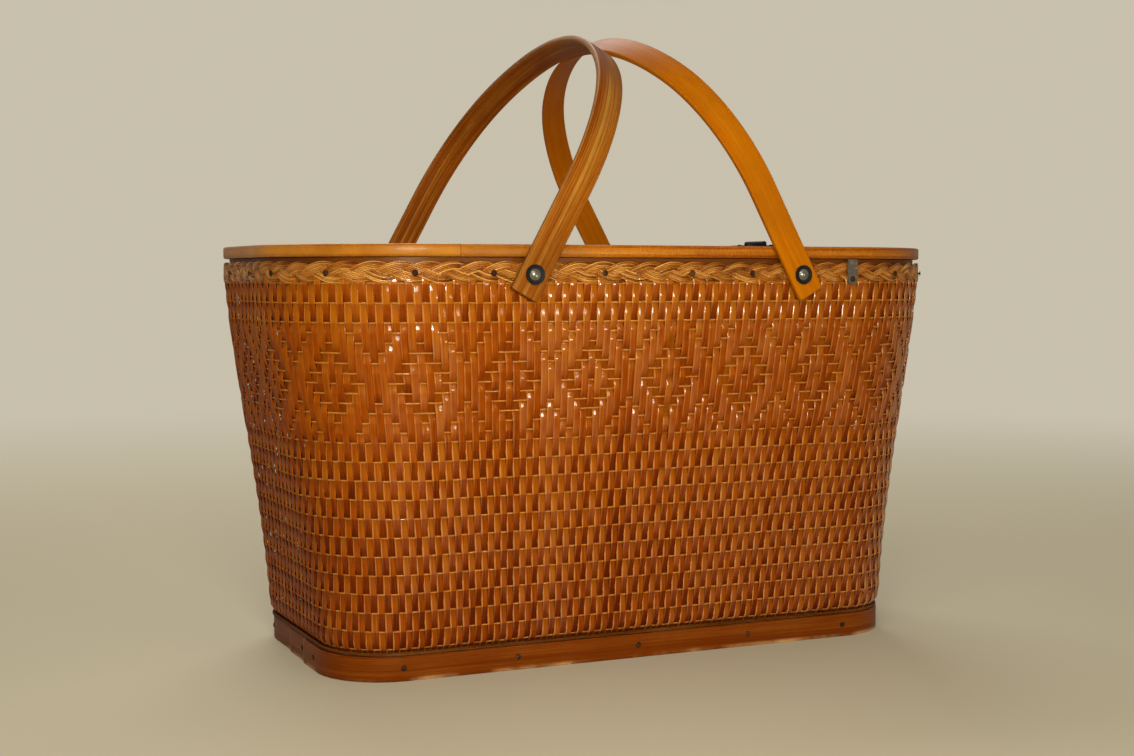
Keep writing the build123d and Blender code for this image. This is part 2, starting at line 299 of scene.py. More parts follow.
plainWood = {"cross": 0.0, "centre": 0.0, "scuff": 0.0, "endWear": 0.0, "faded": 0.0}
bentWood = {
    "brown": {**plainWood, "dark": (0.21, 0.040, 0.001), "mid": (0.51, 0.155, 0.006),
              "light": (0.86, 0.50, 0.08), "pores": 0.5, "coat": 0.0, "rough": 0.44,
              "streak": 1.15, "fine": 1.0, "edgeWear": 0.9, "shine": 0.12},
    "orange": {**plainWood, "dark": (0.38, 0.075, 0.0), "mid": (0.68, 0.215, 0.001),
               "light": (0.86, 0.37, 0.012), "pores": 0.15, "coat": -0.05, "rough": 0.44,
               "streak": 0.35, "fine": 0.9, "edgeWear": 0.8, "shine": 0.06},
    "lid": {**plainWood, "dark": (0.25, 0.042, 0.0), "mid": (0.64, 0.19, 0.003),
            "light": (0.98, 0.43, 0.04), "pores": 0.25, "coat": 0.22, "rough": 0.34,
            "streak": 0.7, "fine": 0.8, "edgeWear": 0.9, "shine": 0.25,
            "cross": 1.0, "centre": 0.3, "faded": 0.38},
    "base": {**plainWood, "dark": (0.085, 0.011, 0.0), "mid": (0.155, 0.027, 0.0),
             "light": (0.31, 0.09, 0.008), "pores": 0.10, "coat": 0.06, "rough": 0.46,
             "streak": 0.4, "fine": 0.5, "edgeWear": 0.3, "shine": 0.15,
             "scuff": 0.8, "endWear": 0.3},
    "reed": {**plainWood, "dark": (0.022, 0.005, 0.001), "mid": (0.060, 0.014, 0.001),
             "light": (0.16, 0.06, 0.012), "pores": 0.5, "coat": 0.05, "rough": 0.6,
             "streak": 0.5, "fine": 1.2, "edgeWear": 0.0, "shine": 0.1, "cross": 0.7},
}
woodWearAndLight = {"rubbed": (0.60, 0.33, 0.12), "foot": (0.0004, 0.0034), "cutEnd": (0.2, 1.6),
            "fadedTo": -0.16, "soundFrom": 0.06}  # foot, fadedTo and soundFrom in m, cutEnd in mm; the last two bound the painted light at the left end


def bentWoodMaterial(name, look):
    material, nt, shader = newMaterial(name, {"Coat Roughness": 0.2, "Specular IOR Level": look["shine"],
                                              "Specular Tint": lacquerTint})
    fibre = attribute(nt, "fibre")["Vector"]  # x along the strip, y across, z through, in mm
    along, across, through = nt.split(fibre)
    place = nt.add("ShaderNodeTexCoord")["Object"]
    band = nt.noise(nt.vector(along * 0.004, across * 0.30, through * 0.35), 1.0, 3.0, 0.55)
    line = nt.noise(nt.vector(along * 0.008, across * 1.5, through * 1.5), 1.0, 2.0, 0.5)
    pore = nt.noise(nt.vector(along * 0.05, across * 2.6, through * 2.6), 1.0, 4.0, 0.7)
    fine = nt.noise(nt.vector(along * 0.22, across * 7.0, through * 7.0), 1.0, 2.0, 0.6)
    age = nt.noise(place, 14.0, 4.0, 0.6)
    tick = nt.noise(nt.vector(along * 0.9, across * 0.45, through * 0.3), 1.0, 3.0, 0.7)
    # painted light: faded makes the strip lighter towards the left end of the basket
    shade = 0.46 + (band - 0.5) * look["streak"] * 1.6 + (line - 0.5) * look["streak"] * 1.3 \
        + (pore - 0.5) * look["fine"] + (fine - 0.5) * look["fine"] * 0.6 + (age - 0.5) * 0.55 \
        + (tick - 0.5) * look["cross"] + (0.5 - (across.size() - 1.0).ease(0.0, 1.6)) * look["centre"] \
        + (1.0 - nt.split(place)[0].ease(woodWearAndLight["fadedTo"], woodWearAndLight["soundFrom"])) * look["faded"]
    colour = nt.ramp(shade.within(0.0, 1.0),
                     [(0.1, look["dark"]), (0.45, look["mid"]), (0.95, look["light"])])
    pit = pore.ease(0.62, 0.74) * look["pores"]
    colour = nt.blend(pit, colour, opaque(look["dark"]))
    edge = attribute(nt, "edge")["Fac"]
    worn = (edge * (0.35 + age * 0.9)).within(0.0, 1.0) * look["edgeWear"]
    colour = nt.blend(worn, colour, opaque([c * 0.5 for c in look["dark"]]))
    # rubbed pale at the foot and at cut ends
    height = nt.split(place)[2]
    rubbed = (1.0 - height.ease(*woodWearAndLight["foot"])) * age.ease(0.42, 0.62) * look["scuff"]
    rubbed = rubbed.most((1.0 - attribute(nt, "fromEnd")["Fac"].ease(*woodWearAndLight["cutEnd"])) * look["endWear"])
    colour = nt.blend(rubbed, colour, opaque(woodWearAndLight["rubbed"]))
    feed(nt, shader, colour=colour, roughness=look["rough"] + (fine - 0.5) * 0.3 + pit * 0.2,
         coat=(look["coat"] + (age - 0.5) * 0.2 - pit * 0.5 - worn * 0.2).within(0.0, 1.0),
         normal=bump(nt, pore * 0.7 + fine * 0.5 - pit + tick * look["cross"], 0.3, 0.0006))
    return material


def boardMaterial(name, look):
    material, nt, shader = newMaterial(name, {"Coat Roughness": 0.18, "Specular IOR Level": 0.3,
                                              "Specular Tint": lacquerTint})
    place = nt.add("ShaderNodeTexCoord")["Object"]
    x, y, z = nt.split(place)
    wave = nt.noise(nt.vector(x * 3.0, y * 26.0, z * 26.0), 1.0, 4.0, 0.6)
    pore = nt.noise(nt.vector(x * 30.0, y * 700.0, z * 700.0), 1.0, 3.0, 0.6)
    age = nt.noise(place, 7.0, 3.0, 0.6)
    ring = ((y * 95.0 + wave * 3.2) * 2.0).sine() * 0.5 + 0.5
    shade = (wave * 0.6 + ring * 0.10 + pore * 0.3 + age * 0.3 - 0.26).within(0.0, 1.0)
    colour = nt.ramp(shade, [(0.05, look["dark"]), (0.5, look["mid"]), (0.95, look["light"])])
    feed(nt, shader, colour=colour, roughness=look["rough"] + pore * 0.2, coat=0.03 + age * 0.12,
         normal=bump(nt, pore + ring * 0.3, 0.18, 0.0006))
    return material


metals = {
    "darkSteel": {"base": (0.008, 0.006, 0.005), "worn": (0.04, 0.028, 0.016),
                  "metal": 0.0, "rough": 0.42, "wear": 0.60, "shine": 0.15},
    "domeSteel": {"base": (0.17, 0.155, 0.115), "worn": (0.62, 0.58, 0.46),
                  "metal": 1.0, "rough": 0.04, "wear": 0.46, "shine": 0.5},
    "greySteel": {"base": (0.105, 0.084, 0.060), "worn": (0.27, 0.215, 0.155),
                  "metal": 0.85, "rough": 0.46, "wear": 0.50, "shine": 0.3},
    "nailSteel": {"base": (0.024, 0.008, 0.002), "worn": (0.10, 0.038, 0.011),
                  "metal": 0.1, "rough": 0.56, "wear": 0.46, "shine": 0.12},
}


def metalMaterial(name, look):
    material, nt, shader = newMaterial(name, {"Specular IOR Level": look["shine"]})
    place = nt.add("ShaderNodeTexCoord")["Object"]
    cloud = nt.noise(place, 260.0, 4.0, 0.65)
    fine = nt.noise(place, 2600.0, 3.0, 0.6)
    wear = (cloud * 0.75 + fine * 0.25).ease(look["wear"], look["wear"] + 0.22)
    colour = nt.blend(wear, opaque(look["base"]), opaque(look["worn"]))
    feed(nt, shader, colour=colour, roughness=look["rough"] + (1.0 - wear) * 0.22,
         metal=(look["metal"] - (1.0 - wear) * 0.25).within(0.0, 1.0),
         normal=bump(nt, fine + cloud, 0.18, 0.00015))
    return material


boardLook = {"dark": (0.18, 0.040, 0.004), "mid": (0.36, 0.105, 0.012), "light": (0.52, 0.20, 0.03),
             "rough": 0.42}
# painted shade: the inner hoop's colours are darkened to stand for the shade in the gap under the lid
hoopShadedLook = {"dark": (0.05, 0.010, 0.001), "mid": (0.12, 0.030, 0.002), "light": (0.22, 0.07, 0.006),
            "rough": 0.44}
materials = {
    "splint": splintMaterial("lacqueredSplint", splintLook),
    "weaver": splintMaterial("paleWeaver", weaverLook),
    "braid": braidMaterial("plaitedFibre", braidLook),
    "board": boardMaterial("lacqueredBoard", boardLook),
    "hoop": boardMaterial("hoopWood", hoopShadedLook),
}
for key, look in bentWood.items():
    materials[key] = bentWoodMaterial("bentWood" + key.capitalize(), look)
for key, look in metals.items():
    materials[key] = metalMaterial(key, look)
print("materials built:", len(materials))


# geometry nodes helpers

socketKinds = {type(None): "Material", int: "Int", float: "Float", tuple: "Vector"}


def newTree(name, inputs):
    # the inputs' starting values say what kind they are
    tree = bpy.data.node_groups.new(name, "GeometryNodeTree")
    tree.is_modifier = True
    tree.interface.new_socket("Geometry", in_out="INPUT", socket_type="NodeSocketGeometry")
    for key, value in inputs.items():
        kind = "NodeSocket" + socketKinds[type(value)]
        socket = tree.interface.new_socket(key, in_out="INPUT", socket_type=kind)
        if value is not None:
            socket.default_value = value
    tree.interface.new_socket("Geometry", in_out="OUTPUT", socket_type="NodeSocketGeometry")
    nt = NodeTree(tree)
    return tree, nt, nt.add("NodeGroupInput"), nt.add("NodeGroupOutput")


def keep(nt, geometry, name, value, kind="FLOAT", domain="POINT"):
    return nt.add("GeometryNodeStoreNamedAttribute", {"data_type": kind, "domain": domain},
                  {"Geometry": geometry, "Name": name, "Value": value})[0]


def read(nt, name, kind="FLOAT"):
    return nt.add("GeometryNodeInputNamedAttribute", {"data_type": kind}, {"Name": name})["Attribute"]


def moveTo(nt, geometry, place):
    return nt.add("GeometryNodeSetPosition", None, {"Geometry": geometry, "Position": place})[0]


def seatsFor(nt, count):
    # that many points in one place, and their numbers; each will carry a copy
    seats = nt.add("GeometryNodeMeshLine", {"mode": "OFFSET"}, {"Count": count, "Offset": (0, 0, 0)})[0]
    return seats, nt.add("GeometryNodeInputIndex")[0]


def copied(nt, seats, geometry):
    copies = nt.add("GeometryNodeInstanceOnPoints", None, {"Points": seats, "Instance": geometry})[0]
    return nt.add("GeometryNodeRealizeInstances", None, {"Geometry": copies})[0]


def finishTree(nt, given, geometry, out):
    real = nt.add("GeometryNodeRealizeInstances", None, {"Geometry": geometry})[0]
    painted = nt.add("GeometryNodeSetMaterial", None, {"Geometry": real, "Material": given["Material"]})[0]
    nt.tree.links.new(painted.out, out.node.inputs[0])


def blank(name, points, edges, faces):
    mesh = bpy.data.meshes.new(name + "Blank")
    mesh.from_pydata(points, edges, faces)
    return newObject(name + "Blank", mesh)


def grow(name, base, tree, values, body, replaces=None):
    modifier = base.modifiers.new("growth", "NODES")
    modifier.node_group = tree
    for item in tree.interface.items_tree:
        if item.in_out == "INPUT" and item.name in values:
            modifier[item.identifier] = values[item.name]
    graph = bpy.context.evaluated_depsgraph_get()
    mesh = bpy.data.meshes.new_from_object(base.evaluated_get(graph))
    base.modifiers.remove(modifier)
    old = base.data
    bpy.data.objects.remove(base)
    bpy.data.meshes.remove(old)
    mesh.name = name
    obj = newObject(name, mesh)
    mesh.polygons.foreach_set("use_smooth", [True] * len(mesh.polygons))
    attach(obj, body)
    if replaces:
        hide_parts(*replaces)
    triangles = sum(len(polygon.vertices) - 2 for polygon in mesh.polygons)
    print(" ", name, len(mesh.vertices), "vertices,", triangles, "triangles")
    return obj


# the woven wall: upright splints pinched by thin weavers, with a belt of stepped diamonds

wall = {
    "repeats": 23, "splintsPerRepeat": 12,     # 276 splints, one diamond for each repeat
    "centreX": 6.0, "round": 1300.0,           # a diamond stands just right of the middle of the front
    "topLine": 251.0, "topPitch": 12.12, "diamondPitch": 6.2, "plainPitch": 12.0,   # mm between weaver lines
    "plainAbove": 2, "diamondLines": 12, "lastLine": 25,
    # splints that a weaver crosses, as offsets from the diamond's centre, from its middle line outwards
    "diamond": ((0, 3, 4), (2, 3), (1, 2, 6), (0, 1, 5), (0, 4), (3,)),
    "swing": 0.66, "thick": 0.56, "inset": 0.58,       # mm
    "wide": 1.05, "spread": 0.02, "taper": -0.06,      # splint pitches
    "diamondSlope": 0.4,                       # how much of the light and shade the diamonds take
    "weaverTall": 1.05, "weaverThick": 0.7, "wander": 0.35, "seed": 7,
    "firstRow": -0.95, "plainStep": 0.25, "diamondStep": 1 / 3,   # a splint's own rows, in weaver lines
    "tuck": 4.0, "tuckedTo": 16.5, "freeFrom": 25.0,   # the foot goes in behind the band
    "pieces": 4, "upperLines": 13,             # how splints and weavers are shared out to pieces
    # height, length, width and corner radius of the outside of the wall
    "sections": ((30.0, 422.5, 205.5, 47.5), (65.0, 431.0, 215.0, 56.0), (105.0, 443.0, 227.5, 67.5),
                 (150.0, 458.0, 242.5, 80.5), (200.0, 475.0, 259.5, 92.5), (247.0, 487.2, 273.2, 101.6)),
}
splintCount = wall["repeats"] * wall["splintsPerRepeat"]
heights, lengths, widths, radii = np.array(wall["sections"]).T
wallFits = [np.polyfit(heights, values, 3) for values in (lengths / 2 - radii, widths / 2 - radii, radii)]


def lineMask(line):
    # one bit for each offset from a diamond's centre, set where the weaver lies over that splint
    away = abs(line - wall["plainAbove"] - wall["diamondLines"] // 2)
    if away < len(wall["diamond"]):
        offsets = wall["diamond"][away]
    else:
        offsets = range(line % 2, wall["splintsPerRepeat"] // 2 + 1, 2)
    return sum(1 << offset for offset in offsets)


def polynomial(nt, fit, z):
    value = nt.number(fit[0])
    for factor in fit[1:]:
        value = value * z + float(factor)
    return value


def onWall(nt, column, height, depth):
    # column counts splints round the basket from the front diamond, height and depth in mm;
    # a quarter of the rounded oblong is worked out and mirrored to the left and to the rear
    z = height.least(wall["sections"][-1][0])
    a, b, r = [polynomial(nt, fit, z) for fit in wallFits]
    quarter = a + b + r * (math.pi / 2)
    share = (column / splintCount + 0.5 + wall["centreX"] / wall["round"]) % 1.0 - 0.5
    run = share * quarter * 4.0
    side = run.sign()
    behind = run.size().above(quarter)
    near = run.size() * (1.0 - behind) + (quarter * 2.0 - run.size()) * behind
    angle = ((near - a) / r).within(0.0, math.pi / 2)
    sine, cosine = angle.sine(), angle.cosine()
    tucked = depth - wall["tuck"] * (1.0 - height.ease(wall["tuckedTo"], wall["freeFrom"]))
    x = (near.least(a) + sine * (r + tucked)) * side
    y = -(b + cosine * (r + tucked) - (near - a - r * (math.pi / 2)).most(0.0))
    y = y * (1.0 - behind * 2.0)
    return nt.vector(x, y, height)


def lineHeight(nt, line, column):
    # height of a weaver line; lines wander a little as they go round
    drop = line.least(wall["plainAbove"]) * wall["topPitch"] \
        + (line - wall["plainAbove"]).within(0.0, wall["diamondLines"]) * wall["diamondPitch"] \
        + (line - wall["plainAbove"] - wall["diamondLines"]).most(0.0) * wall["plainPitch"]
    turn = column * (2 * math.pi / splintCount)
    ring = nt.vector(turn.cosine() * 2.2, turn.sine() * 2.2, line * 0.16)
    return wall["topLine"] - drop + (nt.noise(ring, 1.0, 2.0) - 0.5) * (4.0 * wall["wander"])


def crossed(nt, column, line):
    # 1 where the weaver on this line lies over the splint, 0 where the splint lies over it
    half = wall["splintsPerRepeat"] // 2
    offset = ((column + half) % (half * 2) - half).size()
    masks = [lineMask(k) for k in range(wall["lastLine"] + 3)]
    pick = nt.add("GeometryNodeIndexSwitch", {"data_type": "INT", "items": len(masks)},
                  {0: line + 1.0, **{k + 1: mask for k, mask in enumerate(masks[-1:] + masks[:-1])}})[0]
    return (pick / nt.number(2.0).power(offset)).floor() % 2.0


def splintTree():
    tree, nt, given, out = newTree("splints", {"Count": 10, "First": 0, "Swing": 0.5, "Inset": 1.0,
                                               "Spread": 0.05, "Taper": 0.05, "Diamond Slope": 0.5,
                                               "Seed": 0, "Material": None})
    seats, index = seatsFor(nt, given["Count"])
    seats = keep(nt, seats, "column", index + given["First"])
    dice = nt.add("FunctionNodeRandomValue", {"data_type": "FLOAT"},
                  {2: -1.0, 3: 1.0, "ID": index + given["First"], "Seed": given["Seed"]})[1]
    seats = keep(nt, seats, "dice", dice)
    geometry = copied(nt, seats, given["Geometry"])

    across, deep, row = nt.split(nt.add("GeometryNodeInputPosition")[0])
    column, dice = read(nt, "column"), read(nt, "dice")
    upper = row.floor()
    part = row - upper
    over0, over1 = crossed(nt, column, upper), crossed(nt, column, upper + 1.0)
    ease = part + (part * part * (3.0 - 2.0 * part) - part) * 0.5
    pressed = over0 + ease * (over1 - over0)
    pinned = over0.most(over1)  # a splint that isn't crossed at either line lies a little loose
    lift = (1.0 - 2.0 * pressed) * given["Swing"] + (1.0 - pinned) * 0.06 * dice
    waist = wall["wide"] + (0.5 - pressed) * given["Taper"] + dice * given["Spread"] * 0.5
    lean = nt.noise(nt.vector(column * 0.13, row * 0.10, 0.0), 1.0, 2.0) - 0.5
    place = column + across * waist + lean * 0.5
    height = lineHeight(nt, row, column)
    twist = (nt.noise(nt.vector(column * 5.3, row * 0.2, 4.0), 1.0, 1.0) - 0.5) * across
    depth = deep + lift - given["Inset"] + twist * 0.55
    spot = nt.scaled(onWall(nt, place, height, depth), mm, mm, mm)
    geometry = keep(nt, geometry, "rise", (1.0 - pressed) * (0.7 + (deep - 0.1).most(0.0) * 0.45))
    # painted light and shade: high where the splint comes out below a weaver and faces up, low where it goes
    # back in; the material paints this into the colour
    beltEnd = wall["plainAbove"] + wall["diamondLines"]
    plain = 1.0 - (row - wall["plainAbove"]).above(0.0) * (beltEnd - row).above(0.0)
    slope = (over0 - over1) * plain.between(given["Diamond Slope"], 1.0)
    sunny = 0.5 + slope * 0.34 - slope.least(0.0) * (1.0 - part) * 0.12
    geometry = keep(nt, geometry, "sunny", sunny, domain="FACE")
    # painted highlight: the left shoulder of a raised stretch is painted pale, most where it rises
    shoulder = (-0.33 - across).above(0.0) * (deep - 0.05).above(0.0)
    worn = shoulder * (slope.most(0.0) * 0.9 + (1.0 - pressed) * 0.35).least(1.0)
    geometry = keep(nt, geometry, "edge", worn, domain="FACE")
    patch = nt.noise(nt.vector(column * 1.7, row * 0.45, 9.0), 1.0, 1.0)
    geometry = keep(nt, geometry, "tone", dice * 0.2 + 0.5 + (patch - 0.5) * 0.8)
    geometry = keep(nt, geometry, "fibre", nt.vector(column + across, height, dice * 9.0), "FLOAT_VECTOR")
    finishTree(nt, given, moveTo(nt, geometry, spot), out)
    return tree


def weaverTree():
    tree, nt, given, out = newTree("weavers", {"Count": 10, "First": 0, "Swing": 0.5, "Inset": 1.0,
                                               "Thick": 0.5, "Material": None})
    seats, index = seatsFor(nt, given["Count"])
    seats = keep(nt, seats, "line", index + given["First"])
    geometry = copied(nt, seats, given["Geometry"])

    column, deep, tall = nt.split(nt.add("GeometryNodeInputPosition")[0])
    row = read(nt, "line")
    whole = column.nearest()
    part = column - whole
    beside = whole + part.sign()
    here, there = crossed(nt, whole, row), crossed(nt, beside, row)
    over = here + ((part.size() - 0.30) / 0.2).within(0.0, 1.0) * 0.5 * (there - here)
    front = -given["Swing"] + wall["thick"] + given["Thick"] * 0.35
    back = given["Swing"] - given["Thick"] * 0.9
    depth = back + over * (front - back) + deep - given["Inset"]
    wobble = nt.noise(nt.vector(column * 0.9, row * 7.0, 2.0), 1.0, 1.0) - 0.5
    height = lineHeight(nt, row, column) + tall * (1.0 + wobble * 0.35) + wobble * 0.35
    spot = nt.scaled(onWall(nt, column, height, depth), mm, mm, mm)
    geometry = keep(nt, geometry, "rise", 0.35 + over * 0.5)
    geometry = keep(nt, geometry, "sunny", nt.number(0.5))
    geometry = keep(nt, geometry, "edge", nt.number(0.0))
    geometry = keep(nt, geometry, "tone", nt.noise(nt.vector(column * 0.35, row * 3.0, 8.0), 1.0, 1.0))
    geometry = keep(nt, geometry, "fibre", nt.vector(height * 0.6, column * 30.0, row), "FLOAT_VECTOR")
    finishTree(nt, given, moveTo(nt, geometry, spot), out)
    return tree


def splintBlank(name):
    # one splint: x across (1 is a whole pitch), y through in mm, z the weaver line it has reached
    t = wall["thick"]
    profile = [(-0.5, 0.0), (-0.5, t - 0.30), (-0.43, t - 0.10), (-0.30, t), (0.36, t), (0.44, t - 0.12),
               (0.5, t - 0.30), (0.5, 0.0)]
    plainEnd, diamondEnd = wall["plainAbove"], wall["plainAbove"] + wall["diamondLines"]
    rows = [*np.arange(wall["firstRow"], plainEnd, wall["plainStep"]),
            *np.arange(plainEnd, diamondEnd, wall["diamondStep"]),
            *np.arange(diamondEnd, wall["lastLine"] + 1.01, wall["plainStep"])]
    count = len(profile)
    points = [(x, y, row) for row in rows for x, y in profile]
    faces = []
    for k in range(len(rows) - 1):
        here, there = k * count, (k + 1) * count
        faces += [(here + i, here + (i + 1) % count, there + (i + 1) % count, there + i)
                  for i in range(count)]
    last = (len(rows) - 1) * count
    faces += [tuple(reversed(range(count))), tuple(range(last, last + count))]
    return blank(name, points, [], faces)


def weaverBlank(name):
    # one weaver right round the basket: x counts splints, y through, z tall, in mm
    t, h = wall["weaverThick"] / 2, wall["weaverTall"] / 2
    profile = [(-t, -h), (t * 0.5, -h), (t * 1.1, 0.0), (t * 0.5, h), (-t, h)]
    steps = [i + part for i in range(splintCount) for part in (-0.5, -0.27, 0.27)]
    count = len(profile)
    points = [(x, y, z) for x in steps for y, z in profile]
    faces = []
    for k in range(len(steps)):
        here, there = k * count, (k + 1) % len(steps) * count
        faces += [(here + i, there + i, there + (i + 1) % count, here + (i + 1) % count)
                  for i in range(count)]
    return blank(name, points, [], faces)


def facingOut(obj):
    # every shell is closed, so its normals can be worked out again
    bm = bmesh.new()
    bm.from_mesh(obj.data)
    bmesh.ops.recalc_face_normals(bm, faces=bm.faces)
    bm.to_mesh(obj.data)
    bm.free()


common = {"Swing": wall["swing"], "Inset": wall["inset"]}
splints, weavers = splintTree(), weaverTree()
lineCount = wall["lastLine"] + 1
for k in range(wall["pieces"]):
    first, end = [splintCount * i // wall["pieces"] for i in (k, k + 1)]
    facingOut(grow("splints%d" % (k + 1), splintBlank("splints"), splints,
                   {**common, "Count": end - first, "First": first, "Spread": wall["spread"],
                    "Taper": wall["taper"], "Diamond Slope": wall["diamondSlope"], "Seed": wall["seed"],
                    "Material": materials["splint"]},
                   "basket", ["woven_wall"] if k == 0 else None))
for k, (first, end) in enumerate(((0, wall["upperLines"]), (wall["upperLines"], lineCount))):
    facingOut(grow("weavers%d" % (k + 1), weaverBlank("weavers"), weavers,
                   {**common, "Count": end - first, "First": first, "Thick": wall["weaverThick"],
                    "Material": materials["weaver"]}, "basket"))
print("wall woven:", splintCount, "splints,", lineCount, "weavers")


# rounded oblong paths

def pointOn(length, width, radius, along):
    # x, y in mm at a distance along the outline from the middle of the front
    a, b, arc = length / 2 - radius, width / 2 - radius, math.pi / 2 * radius
    total = 4 * (a + b + arc)
    along = (along + total / 2) % total - total / 2
    side, run = (1 if along >= 0 else -1), abs(along)
    if run <= a:
        x, y = run, -width / 2
    elif run <= a + arc:
        t = (run - a) / radius
        x, y = a + radius * math.sin(t), -b - radius * math.cos(t)
    elif run <= a + arc + 2 * b:
        x, y = length / 2, run - a - arc - b
    elif run <= a + 2 * arc + 2 * b:
        t = (run - a - arc - 2 * b) / radius
        x, y = a + radius * math.cos(t), b + radius * math.sin(t)
    else:
        x, y = 2 * a + 2 * arc + 2 * b - run, width / 2
    return side * x, y


def outlineLength(length, width, radius):
    return 4 * (length / 2 - radius + width / 2 - radius + math.pi / 2 * radius)


# bent strips: lid bands, base band and the handles' bows, one tree for all of them

def bentStripTree():
    tree, nt, given, out = newTree("bentStrip", {"Thick": 4.0, "Wide": 19.0, "Edge": 0.9, "End": 0.0,
                                                 "Turn": (0.0, 0.0, 0.0), "Place": (0.0, 0.0, 0.0),
                                                 "Material": None})
    curve = nt.add("GeometryNodeMeshToCurve", None, {0: given["Geometry"]})[0]
    curve = nt.add("GeometryNodeSetCurveNormal", {"mode": "Z_UP"}, {"Curve": curve})[0]
    length = nt.add("GeometryNodeSplineParameter")["Length"]
    total = nt.add("GeometryNodeSplineLength")["Length"]
    curve = keep(nt, curve, "along", length)
    curve = keep(nt, curve, "fromEnd", length.least(total - length))
    box = nt.add("GeometryNodeCurvePrimitiveQuadrilateral", {"mode": "RECTANGLE"},
                 {"Width": given["Thick"], "Height": given["Wide"]})[0]
    box = nt.add("GeometryNodeFilletCurve", {"mode": "POLY"},
                 {"Curve": box, "Count": 3, "Radius": given["Edge"], "Limit Radius": True})[0]
    px, py = nt.split(nt.add("GeometryNodeInputPosition")[0])[:2]
    box = keep(nt, box, "across", py)
    box = keep(nt, box, "through", px)
    strip = nt.add("GeometryNodeCurveToMesh", None,
                   {"Curve": curve, "Profile Curve": box, "Fill Caps": True})[0]
    along, fromEnd, across, through = [read(nt, name) for name in ("along", "fromEnd", "across", "through")]
    corner = given["Edge"]
    nearEdge = (across.size() - given["Wide"] * 0.5 + corner * 1.15).above(0.0) \
        * (through.size() - given["Thick"] * 0.5 + corner * 1.15).above(0.0)
    strip = keep(nt, strip, "edge", nearEdge)
    strip = keep(nt, strip, "fibre", nt.vector(along, across, through), "FLOAT_VECTOR")
    # ends with rounded corners: the strip narrows over the last End millimetres
    short = (given["End"] - fromEnd).most(0.0)
    cut = given["End"] - (given["End"] * given["End"] - short * short).most(0.0).power(0.5)
    x, y, z = nt.split(nt.add("GeometryNodeInputPosition")[0])
    scale = 1.0 - cut / (given["Wide"] * 0.5)
    strip = moveTo(nt, strip, nt.vector(x, y, z * scale))
    strip = nt.add("GeometryNodeTransform", None, {"Geometry": strip, "Rotation": given["Turn"]})[0]
    strip = nt.add("GeometryNodeTransform", None,
                   {"Geometry": strip, "Translation": given["Place"], "Scale": (mm, mm, mm)})[0]
    finishTree(nt, given, strip, out)
    return tree


bentStrip = bentStripTree()


def pathBlank(name, paths):
    # each path is (points, closed)
    points, edges = [], []
    for path, closed in paths:
        start = len(points)
        points += [(x, y, 0.0) for x, y in path]
        edges += [(start + i, start + i + 1) for i in range(len(path) - 1)]
        if closed:
            edges.append((len(points) - 1, start))
    return blank(name, points, edges, [])


def spaced(start, end, step):
    count = max(2, int(abs(end - start) / step))
    return [start + (end - start) * i / count for i in range(count + 1)]


lidSize = {"length": 490.0, "width": 276.0, "radius": 103.0, "bottom": 267.0, "top": 275.0,
           "band": 5.0, "edge": 1.4, "splitX": 82.0, "gap": 0.8, "jointX": -142.7,
           "jointGap": 0.3, "step": 4.0}


def lidBand(name, node, body, spans):
    lid = lidSize
    inset = lid["band"] / 2
    size = (lid["length"] - lid["band"], lid["width"] - lid["band"], lid["radius"] - inset)
    paths = [([pointOn(*size, s) for s in spaced(low, high, lid["step"])], False)
             for low, high in spans(outlineLength(*size))]
    return grow(name, pathBlank(name, paths), bentStrip,
                {"Thick": lid["band"], "Wide": lid["top"] - lid["bottom"], "Edge": lid["edge"],
                 "Place": (0.0, 0.0, (lid["bottom"] + lid["top"]) / 2 * mm), "Material": materials["lid"]},
                body, [node])


def longSpans(total):
    # from the saw cut at the front round the left end to the cut at the rear, less the butt joint
    cut, joint, gap = lidSize["splitX"] - lidSize["gap"] / 2, lidSize["jointX"], lidSize["jointGap"] / 2
    return (joint + gap, cut), (-total / 2 - cut, joint - gap)


def shortSpans(total):
    cut = lidSize["splitX"] + lidSize["gap"] / 2
    return ((cut, total / 2 - cut),)


facingOut(lidBand("lidEdgeBand", "lid_band", "lid", longSpans))
facingOut(lidBand("endEdgeBand", "end_band", "basket", shortSpans))

baseBand = {"length": 420.0, "width": 202.0, "radius": 46.0, "thick": 3.0, "tall": 16.0, "edge": 0.8,
            "lapFront": -23.7, "lapRear": 13.4, "ply": 1.3, "step": 4.0, "lapStep": 2.0}


def makeBaseBand():
    # the band laps itself at the left end: a front ply that stands out, a middle one and a rear one set in
    b = baseBand
    size = (b["length"] - b["thick"], b["width"] - b["thick"], b["radius"] - b["thick"] / 2)
    total, corner = outlineLength(*size), size[0] / 2 - size[2]
    left = total / 4
    long = []
    for s in spaced(-b["lapFront"] - left, total - b["lapRear"] - left, b["step"]):
        x, y = pointOn(*size, s)
        long.append((x + (math.copysign(b["ply"], y) if x < -corner else 0.0), y))
    short = [(-size[0] / 2, y) for y in spaced(b["lapFront"], b["lapRear"], b["lapStep"])]
    facingOut(grow("baseBand", pathBlank("baseBand", [(long, False), (short, False)]), bentStrip,
                   {"Thick": b["thick"], "Wide": b["tall"], "Edge": b["edge"],
                    "Place": (0.0, 0.0, b["tall"] / 2 * mm), "Material": materials["base"]},
                   "basket", ["base_band"]))


makeBaseBand()

# dark rough strip over the joint between the band and the wall; its near-black colour paints the shade in the
# gap there
footReed = {"length": 417.4, "width": 199.4, "radius": 44.6, "height": 17.3, "thick": 2.0, "tall": 2.6,
            "edge": 0.9, "rough": 0.12, "step": 2.0, "seed": 5}


